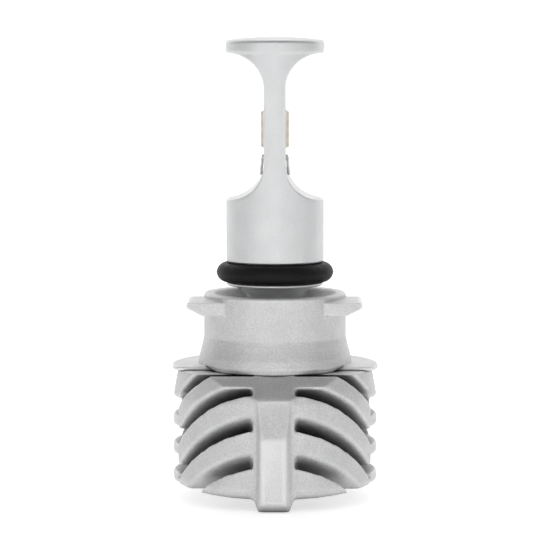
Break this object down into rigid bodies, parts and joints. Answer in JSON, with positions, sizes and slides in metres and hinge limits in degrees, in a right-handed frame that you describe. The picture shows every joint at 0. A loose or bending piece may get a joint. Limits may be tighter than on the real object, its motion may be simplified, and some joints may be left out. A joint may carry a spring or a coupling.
{
  "type": "headlight bulb",
  "caption": "Plug-in LED headlight bulb: flat blade with a light source on each side, sealed neck that turns in a lugged collar, slanted-fin heat sink and a rear socket.",
  "frame": {"origin": "on the bulb's axis, in the plane of the bayonet lugs' seating faces", "axes": "+Z along the axis towards the light sources and the cap, +Y towards the electrical socket, +X to the right seen from the side away from the socket"},
  "size_m": [0.0304, 0.0431, 0.0681],
  "materials": {
    "cast_head": "fine bead-blasted casting",
    "cast_collar": "fine bead-blasted casting",
    "cast_fins": "fine bead-blasted casting",
    "rubber_black": "matte, slightly oily",
    "strip_white": "white solder mask",
    "ceramic_white": "fired ceramic",
    "phosphor": "yellow phosphor in silicone",
    "wire_red": "silicone wire",
    "wire_tinned": "tinned copper wire",
    "spring_steel": "oiled spring steel",
    "washer_white": "PTFE",
    "screw_steel": "zinc plated",
    "sleeve_black": "shrink sleeve",
    "board_green": "green solder mask",
    "ferrite": "ferrite",
    "copper": "enamelled copper wire",
    "can_dark": "sleeved aluminium can",
    "chip_black": "moulded epoxy",
    "ceramic_tan": "fired ceramic",
    "socket_black": "moulded nylon",
    "gasket_red": "silicone gasket",
    "blade_brass": "tin plated brass"
  },
  "bodies": {
    "base": {"friction_washer": "washer_white", "collar": "cast_collar", "heat_sink": "cast_fins", "base_seal": "rubber_black", "flange_screws": "screw_steel", "lead_sleeve": "sleeve_black", "driver_board": "board_green", "inductor": "ferrite", "inductor_winding": "copper", "capacitors": "can_dark", "driver_chips": "chip_black", "ceramic_parts": "ceramic_tan", "board_screws": "screw_steel", "supply_wires": "wire_red", "socket_housing": "socket_black", "socket_gasket": "gasket_red", "contact_blades": "blade_brass", "socket_screws": "screw_steel"},
    "head": {"lamp_head": "cast_head", "o_ring": "rubber_black", "strip_left": "strip_white", "strip_right": "strip_white", "led_left": "ceramic_white", "led_right": "ceramic_white", "phosphor_left": "phosphor", "phosphor_right": "phosphor", "leads_left": "wire_tinned", "leads_right": "wire_tinned", "retaining_ring": "spring_steel"}
  },
  "joints": [
    {"name": "head_turn", "type": "hinge", "parent": "base", "child": "head", "pos_m": [0, 0, 0], "axis": [0, 0, 1], "range_deg": [-90, 90]}
  ]
}
